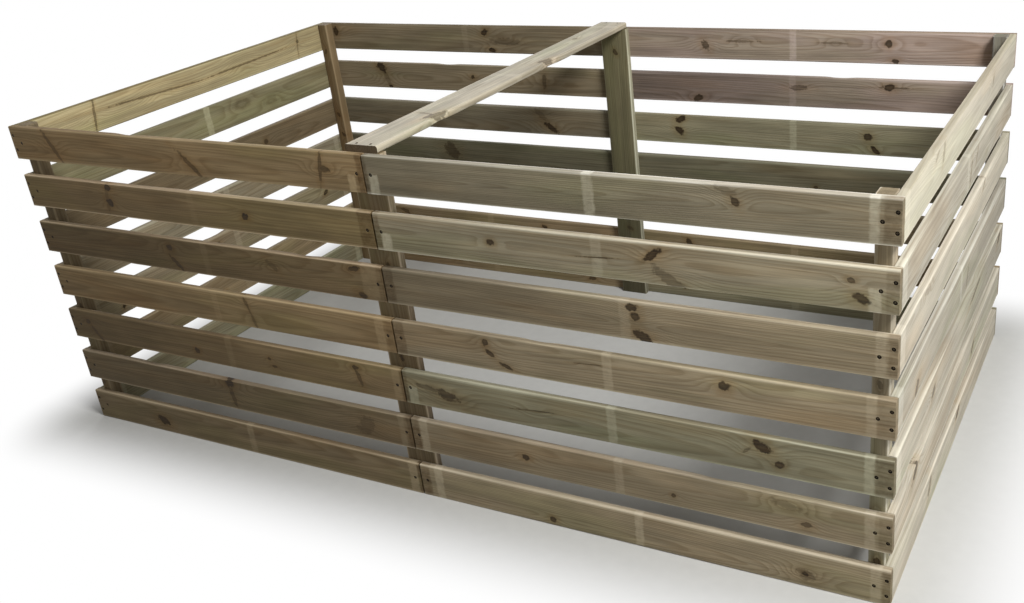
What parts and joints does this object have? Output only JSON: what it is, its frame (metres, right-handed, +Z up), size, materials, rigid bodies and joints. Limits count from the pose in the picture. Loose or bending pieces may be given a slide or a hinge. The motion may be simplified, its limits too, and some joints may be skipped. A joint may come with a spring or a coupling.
{
  "type": "compost bin",
  "caption": "Open rectangular garden compost bin of treated softwood slats screwed to posts inside the walls, with a flat rail across the top.",
  "frame": {"origin": "on the ground under the middle of the bin", "axes": "+X along the front wall to the right, +Y from the front wall to the back wall, +Z up"},
  "size_m": [2.5, 1.36, 0.968],
  "materials": {
    "treated_pine": "rough sawn pressure-treated softwood, slightly green",
    "post_timber": "sawn pressure-treated softwood with eased edges",
    "screw_steel": "dark coated steel"
  },
  "bodies": {
    "root": {"front_left_slat_1": "treated_pine", "front_left_slat_2": "treated_pine", "front_left_slat_3": "treated_pine", "front_left_slat_4": "treated_pine", "front_left_slat_5": "treated_pine", "front_left_slat_6": "treated_pine", "front_left_slat_7": "treated_pine", "front_right_slat_1": "treated_pine", "front_right_slat_2": "treated_pine", "front_right_slat_3": "treated_pine", "front_right_slat_4": "treated_pine", "front_right_slat_5": "treated_pine", "front_right_slat_6": "treated_pine", "front_right_slat_7": "treated_pine", "back_left_slat_1": "treated_pine", "back_left_slat_2": "treated_pine", "back_left_slat_3": "treated_pine", "back_left_slat_4": "treated_pine", "back_left_slat_5": "treated_pine", "back_left_slat_6": "treated_pine", "back_left_slat_7": "treated_pine", "back_right_slat_1": "treated_pine", "back_right_slat_2": "treated_pine", "back_right_slat_3": "treated_pine", "back_right_slat_4": "treated_pine", "back_right_slat_5": "treated_pine", "back_right_slat_6": "treated_pine", "back_right_slat_7": "treated_pine", "left_end_slat_1": "treated_pine", "left_end_slat_2": "treated_pine", "left_end_slat_3": "treated_pine", "left_end_slat_4": "treated_pine", "left_end_slat_5": "treated_pine", "left_end_slat_6": "treated_pine", "left_end_slat_7": "treated_pine", "right_end_slat_1": "treated_pine", "right_end_slat_2": "treated_pine", "right_end_slat_3": "treated_pine", "right_end_slat_4": "treated_pine", "right_end_slat_5": "treated_pine", "right_end_slat_6": "treated_pine", "right_end_slat_7": "treated_pine", "front_left_post": "post_timber", "front_right_post": "post_timber", "back_left_post": "post_timber", "back_right_post": "post_timber", "front_mid_post": "post_timber", "back_mid_post": "post_timber", "cross_rail": "treated_pine", "front_screws": "screw_steel", "back_screws": "screw_steel", "rail_screws": "screw_steel"}
  },
  "joints": []
}
